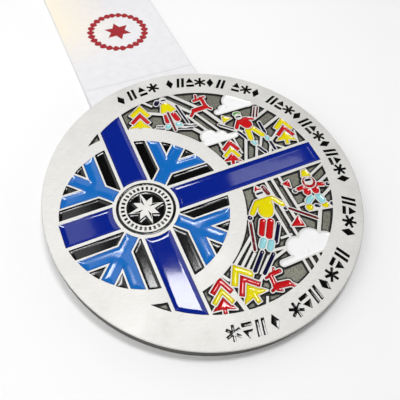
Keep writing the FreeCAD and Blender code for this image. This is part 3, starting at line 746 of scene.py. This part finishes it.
def makeSolder():
    values = {"reach": 0.62, "height": 0.6, "steps": 7, "around": 88, "wobble": 0.12}
    vertices, faces = [], []
    for name in ("hanger_lug_left", "hanger_lug_right"):
        low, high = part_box(name)
        middleX, middleY = (low.x + high.x) / 2, (lugLow.y + lugHigh.y) / 2
        halfX, halfY = (high.x - low.x) / 2, (high.y - low.y) / 2
        start = len(vertices)
        for step in range(values["steps"]):
            fall = step / (values["steps"] - 1)
            reach = values["reach"] * (1 - fall) ** 2.2 - 0.1 * fall
            depth = values["height"] * fall ** 0.8
            for i in range(values["around"]):
                angle = 2 * math.pi * i / values["around"]
                square = (abs(math.cos(angle)) ** 8 + abs(math.sin(angle)) ** 8) ** -0.125
                x, y = math.cos(angle) * square * halfX, math.sin(angle) * square * halfY
                swell = 1 + values["wobble"] * 3 * noise.noise(Vector((x, y, middleX)) / (1.5 * mm))
                grown = reach * mm * swell
                out = Vector((math.cos(angle), math.sin(angle)))
                vertices.append((middleX + x + out.x * grown, middleY + y + out.y * grown,
                                 -depth * mm * (0.9 + 0.1 * swell) + 0.02 * mm))
        for step in range(values["steps"] - 1):
            first = start + step * values["around"]
            faces += ringFaces(first, first + values["around"], values["around"])
    piece = meshObject("lugSolder", vertices, [f[::-1] for f in faces], softSolder())
    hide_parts("hanger_solder")
    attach(piece, "medal")


# the ribbon

ribbon = {
    "thick": 0.55,
    "gap": 0.05,
    "seamStart": 31.0,
    "seamEnd": 37.0,
    "bend": 2.5,          # how far from a corner it starts to turn
    "crease": 54.5,
    "creaseLift": 0.1,
    "tieLift": 0.65,      # the hank is off the table by its tie
    "flare": 0.1,         # the folds spread towards the hank's ends
    "endRoom": 1.7,       # from the longest fold to the hank's end
    "foldJitter": 1.7,
    "foldBulge": 0.25,
    "sideJitter": 0.45,
    "step": 1.6,
    "seed": 5,
}
pitch = ribbon["thick"] + ribbon["gap"]
hankStart, hankEnd = hankLow.y / mm, hankHigh.y / mm
hankMiddle, hankHalf = (hankStart + hankEnd) / 2, (hankEnd - hankStart) / 2


def layerHeight(level, y):
    # a layer's middle height over the table, in the hank and in the legs before it
    reach = abs(y - hankMiddle) / hankHalf
    lift = ribbon["tieLift"] * max(0.0, 1 - (min(reach, 1.0)) ** 3)
    spreadOut = ribbon["flare"] * max(0, level - 1) * min(reach, 1.05) ** 2
    return ribbon["creaseLift"] + lift + ribbon["thick"] / 2 + level * pitch + spreadOut


def hankRoute():
    # The two legs lie one on the other and are folded to and fro together, seven
    # layers deep. One strand runs out at these levels, and back in at the rest.
    draw = random.Random(ribbon["seed"])
    ends = [draw.uniform(0, ribbon["foldJitter"]) for _ in range(7)]

    def run(level, towardsEnd, nextFold, lastFold):
        near = hankStart + ribbon["endRoom"] + ends[lastFold if towardsEnd else nextFold]
        far = hankEnd - ribbon["endRoom"] - ends[nextFold if towardsEnd else lastFold]
        count = int((far - near) / ribbon["step"])
        places = [near + (far - near) * i / count for i in range(count + 1)]
        if not towardsEnd:
            places.reverse()
        return [onTable(y * mm, layerHeight(level, y) * mm) for y in places]

    def turn(fromLevel, toLevel, fold, farEnd):
        room = ribbon["endRoom"]
        y = hankEnd - room - ends[fold] if farEnd else hankStart + room + ends[fold]
        low, high = layerHeight(fromLevel, y), layerHeight(toLevel, y)
        radius = abs(high - low) / 2
        reach = radius + ribbon["foldBulge"]
        count = 7 if radius < 0.6 else 13
        points = []
        for i in range(1, count):
            angle = math.pi * i / count
            side = math.sin(angle) * reach * (1 if farEnd else -1)
            height = (low + high) / 2 + (low - high) / 2 * math.cos(angle)
            points.append(onTable((y + side) * mm, height * mm))
        return points

    firstPlace = hankStart * mm + 3 * mm  # the legs reach the hank here
    outward = [1, 2, 5, 6, 9, 10, 13]
    inward = [12, 11, 8, 7, 4, 3, 0]
    route = []
    for i, level in enumerate(outward):
        towardsEnd = i % 2 == 0
        points = run(level, towardsEnd, i, max(i - 1, 0))
        if i == 0:
            points = [p for p in points if p[0] > firstPlace]
        route += points
        following = outward[i + 1] if i < 6 else inward[0]
        route += turn(level, following, i, towardsEnd)
    for i, level in enumerate(inward):
        fold = 6 - i
        towardsEnd = i % 2 == 1
        points = run(level, towardsEnd, max(fold - 1, 0), fold)
        if i == 6:
            points = [p for p in points if p[0] > firstPlace]
        route += points
        if i < 6:
            route += turn(level, inward[i + 1], fold - 1, towardsEnd)
    return route


def rounded(points, radius):
    # the line with each corner eased by a short curve
    made = [points[0]]
    for before, corner, after in zip(points, points[1:], points[2:]):
        a, b, c = Vector(before), Vector(corner), Vector(after)
        reach = min(radius * mm, (a - b).length * 0.45, (c - b).length * 0.45)
        start, end = b + (a - b).normalized() * reach, b + (c - b).normalized() * reach
        for step in range(7):
            t = step / 6
            made.append(tuple(start * (1 - t) ** 2 + b * (2 * t * (1 - t)) + end * t ** 2))
    return made + [points[-1]]


def evenly(points, step):  # the line with long runs divided
    made = [points[0]]
    for a, b in zip(points, points[1:]):
        count = max(1, math.ceil(math.dist(a, b) / (step * mm)))
        made += [(a[0] + (b[0] - a[0]) * i / count, a[1] + (b[1] - a[1]) * i / count)
                 for i in range(1, count + 1)]
    return made


def ribbonLine():
    seam = [barZ + (1 - number) * pitch * mm for number in range(3)]
    start, end = ribbon["seamStart"] * mm, ribbon["seamEnd"] * mm
    eye = barRadius + (0.08 + ribbon["thick"] / 2) * mm
    loop = [(end, seam[1]), (start + 0.6 * mm, seam[1])]
    for step in range(17):
        angle = math.radians(-62 - 236 * step / 16)
        loop.append((barY + eye * math.cos(angle), barZ + eye * math.sin(angle)))
    loop += [(start + 0.6 * mm, seam[0]), (end, seam[0])]
    crease = ribbon["crease"]
    front = [onTable(y * mm, layerHeight(1, y) * mm) for y in (crease, 75.0, 95.0, hankStart)]
    back = [onTable(y * mm, layerHeight(0, y) * mm) for y in (hankStart, 95.0, 75.0, crease)]
    closing = [(end, seam[2]), (start, seam[2])]
    line = loop[:-2] + rounded(loop[-3:] + front, ribbon["bend"])[1:]
    line += hankRoute() + rounded(back + closing, ribbon["bend"])
    return evenly(line, ribbon["step"])


def layFlat(mesh, cloth):  # each point's place on the flat cloth, in millimetres
    layer = mesh.uv_layers.new(name="cloth")
    for corner in mesh.loops:
        layer.data[corner.index].uv = cloth[corner.vertex_index]


def makeRibbon():
    line = np.array(ribbonLine())
    steps = np.linalg.norm(np.diff(line, axis=0), axis=1)
    keep = np.concatenate([[True], steps > 0.02 * mm])
    line = line[keep]
    steps = np.linalg.norm(np.diff(line, axis=0), axis=1)
    along = np.concatenate([[0], np.cumsum(steps)]) / mm
    tangent = np.gradient(line, axis=0)
    tangent /= np.linalg.norm(tangent, axis=1, keepdims=True)
    up = np.column_stack([-tangent[:, 1], tangent[:, 0]])
    onFront = (line[:, 0] > 60 * mm) & (along < 130)
    motifAlong = float(np.interp(ribbonPrint["motifY"], line[onFront, 0] / mm, along[onFront]))
    creaseAlong = motifAlong - (ribbonPrint["motifY"] - ribbon["crease"])

    half = ribbonWidth / mm / 2
    # a thin rounded selvedge with a slight bead inside it, and an even cloth between
    edge = [-half, -half + 0.08, -half + 0.3, -half + 0.8]
    columns = edge + list(np.linspace(-half + 2.5, half - 2.5, 15)) + [-x for x in reversed(edge)]
    fullness = [0.45, 0.85, 1.12, 1.0] + [1.0] * 15 + [1.0, 1.12, 0.85, 0.45]
    count = len(columns)
    vertices, faces, cloth = [], [], []
    for side in (1, -1):
        for i, (y, z) in enumerate(line):
            inHank = min(1.0, max(0.0, (y / mm - hankStart + 25) / 25))
            shift = ribbon["sideJitter"] * inHank * noise.noise(Vector((along[i] / 37, 3.1, 0)))
            for x, full in zip(columns, fullness):
                wave = 0.05 * noise.noise(Vector((x / 14, y / mm / 22, 7.7)))
                wave *= min(1, max(0, y / mm - 40) / 20)  # none near the seam
                off = side * ribbon["thick"] / 2 * full
                vertices.append(((x + shift) * mm, y + up[i][0] * off * mm,
                                 z + (up[i][1] * off + wave) * mm))
                cloth.append((x, along[i]))
    rows = len(line)
    lower = rows * count
    for i in range(rows - 1):
        for j in range(count - 1):
            a = i * count + j
            faces.append([a, a + 1, a + count + 1, a + count])
            faces.append([lower + a + count, lower + a + count + 1, lower + a + 1, lower + a])
        a = i * count
        faces.append([a, a + count, lower + a + count, lower + a])
        b = a + count - 1
        faces.append([b + count, b, lower + b, lower + b + count])
    for j in range(count - 1):
        faces.append([j + 1, j, lower + j, lower + j + 1])
        a = (rows - 1) * count + j
        faces.append([a, a + 1, lower + a + 1, lower + a])
    printed = wovenRibbon("ribbedRibbonPrinted", True, creaseAlong, motifAlong)
    plain = wovenRibbon("ribbedRibbonPlain", False, creaseAlong)
    piece = meshObject("neckRibbon", vertices, faces, printed)
    mesh = piece.data
    mesh.materials.append(plain)
    mesh.polygons.foreach_set("material_index",
                              [int(all(v >= lower for v in p.vertices)) for p in mesh.polygons])
    layFlat(mesh, cloth)
    mesh.set_sharp_from_angle(angle=math.radians(60))
    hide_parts("ribbon_eye", "ribbon_front_leg", "ribbon_back_leg", "ribbon_hank")
    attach(piece, "ribbon")


tie = {
    "width": 6.0,
    "thick": 0.6,
    "cords": 7,
    "corner": 1.6,
}


def makeTie():
    top = layerHeight(13, hankMiddle) + ribbon["thick"] / 2 + 0.05
    half = ribbonWidth / mm / 2 + 0.05
    corner = tie["corner"]
    low, high = tie["thick"] / 2, top + tie["thick"] / 2
    loop = []
    for quarter, x, h in ((3, half - corner, low + corner), (0, half - corner, high - corner),
                          (1, corner - half, high - corner), (2, corner - half, low + corner)):
        for step in range(9):
            angle = math.pi / 2 * (quarter + step / 8)
            grown = corner + tie["thick"] / 2
            loop.append((x + grown * math.cos(angle), h + corner * math.sin(angle),
                         math.cos(angle), math.sin(angle)))
    loop = [(0.02, low, 0.0, -1.0)] + loop + [(-0.02, low, 0.0, -1.0)]  # the ends meet underneath
    across = 8 * tie["cords"] + 1
    vertices, faces, cloth = [], [], []
    for side in (1, -1):
        along = 0.0
        for step, (x, h, outX, outH) in enumerate(loop):
            along += math.dist((x, h), loop[step - 1][:2]) if step else 0.0
            for j in range(across):
                share = j / (across - 1)
                ridge = abs(math.sin(share * math.pi * tie["cords"]))
                thick = tie["thick"] * (0.36 + 0.13 * ridge)
                y = hankMiddle + (share - 0.5) * tie["width"]
                place = onTable(y * mm, (h + side * outH * thick) * mm)
                vertices.append(((x + side * outX * thick) * mm, place[0], place[1]))
                cloth.append((share * tie["width"], along))
    around = len(loop)
    lower = around * across
    for i in range(around):
        k = (i + 1) % around
        for j in range(across - 1):
            a, b = i * across + j, k * across + j
            faces.append([a, a + 1, b + 1, b])
            faces.append([lower + b, lower + b + 1, lower + a + 1, lower + a])
        a, b = i * across, k * across
        faces.append([a, b, lower + b, lower + a])
        a, b = a + across - 1, b + across - 1
        faces.append([b, a, lower + a, lower + b])
    piece = meshObject("hankTie", vertices, faces, knittedElastic())
    layFlat(piece.data, cloth)
    bm = bmesh.new()
    bm.from_mesh(piece.data)
    bmesh.ops.recalc_face_normals(bm, faces=bm.faces)
    bm.to_mesh(piece.data)
    bm.free()
    piece.data.set_sharp_from_angle(angle=math.radians(60))
    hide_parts("ribbon_tie")
    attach(piece, "ribbon")


seam = {
    "rows": (32.6, 35.6),
    "pitch": 2.6,
    "over": 1.9,
    "thread": 0.17,       # radius
}


def makeStitches():
    width = ribbonWidth / mm - 4.0
    count = int(width / seam["pitch"])
    surfaces = (barZ / mm + pitch + ribbon["thick"] / 2, barZ / mm - pitch - ribbon["thick"] / 2)
    curve = bpy.data.curves.new("seamStitches", "CURVE")
    curve.dimensions = "3D"
    curve.bevel_depth = seam["thread"] * mm
    curve.bevel_resolution = 3
    curve.resolution_u = 6
    for y in seam["rows"]:
        for side, surface in zip((1, -1), surfaces):
            points = []
            for step in range(count):
                x = (step - (count - 1) / 2) * seam["pitch"]
                for dx, dz in ((-1.12, -0.5), (-0.85, -0.02), (-0.45, 0.1), (0.0, 0.13), (0.45, 0.1),
                               (0.85, -0.02), (1.12, -0.5)):
                    points.append((x + dx * seam["over"] / 2, y, surface + side * dz))
            spline = curve.splines.new("NURBS")
            spline.points.add(len(points) - 1)
            for point, place in zip(spline.points, points):
                point.co = (place[0] * mm, place[1] * mm, place[2] * mm, 1.0)
            spline.order_u = 3
            spline.use_endpoint_u = True
    holder = bpy.data.objects.new("seamStitches", curve)
    mesh = bpy.data.meshes.new_from_object(holder)
    bpy.data.objects.remove(holder)
    piece = bpy.data.objects.new("seamStitches", mesh)
    bpy.context.scene.collection.objects.link(piece)
    mesh.materials.clear()
    mesh.materials.append(sewingThread())
    mesh.shade_smooth()
    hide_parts("seam_stitching")
    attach(piece, "ribbon")


# table and light

lights = {
    # name: its middle, its turn about the vertical, its size and its watts; all face down
    "window": ((55, 76, 450), -20, (130, 110), 1.0),
    "leftPanel": ((-360, 125, 450), 0, (680, 750), 2.1),
    "streak": ((255, 232, 450), -8, (120, 36), 0.035),
}
sky = {"horizon": 1.3, "overhead": 0.035}


def makeLights():
    for name, (place, turn, size, watts) in lights.items():
        data = bpy.data.lights.new(name, "AREA")
        data.shape = "RECTANGLE"
        data.size, data.size_y = size[0] * mm, size[1] * mm
        data.energy = watts
        lamp = bpy.data.objects.new(name, data)
        bpy.context.scene.collection.objects.link(lamp)
        lamp.location = Vector(place) * mm
        lamp.rotation_euler = (0, 0, math.radians(turn))
        lamp.visible_camera = False
    world = bpy.data.worlds.new("studio")
    world.use_nodes = True
    tree = world.node_tree
    way = addNode(tree, "ShaderNodeTexCoord").outputs["Generated"]
    rise = addNode(tree, "ShaderNodeSeparateXYZ", links={0: way}).outputs["Z"]
    glow = spread(tree, rise, 0.0, 0.7, sky["horizon"], sky["overhead"])
    tree.nodes["Background"].inputs["Color"].default_value = linear("#ffffff")
    tree.links.new(glow, tree.nodes["Background"].inputs["Strength"])
    bpy.context.scene.world = world
    bpy.context.scene.view_settings.view_transform = "Standard"


def makeTable():
    size = 3.0
    mesh = bpy.data.meshes.new("table")
    mesh.from_pydata([(-size, -size, 0), (size, -size, 0), (size, size, 0), (-size, size, 0)], [],
                     [(0, 1, 2, 3)])
    mesh.materials.append(paleTable())
    table = bpy.data.objects.new("table", mesh)
    bpy.context.scene.collection.objects.link(table)
    table.location = (0, -discRadius, 0)
    table.rotation_euler = (-restSlope, 0, 0)


makeCamera()
makeLights()
makeTable()
print("stage made")
nickel = satinNickel()
lacquer = antiqueBlack()
makeBlank(nickel, lacquer, shadedEdgeNickel())
print("disc made")
makeFills(lacquer)
print("fills made")
makeHanger(nickel)
makeRibbon()
makeTie()
makeStitches()
print("hanger and ribbon made")
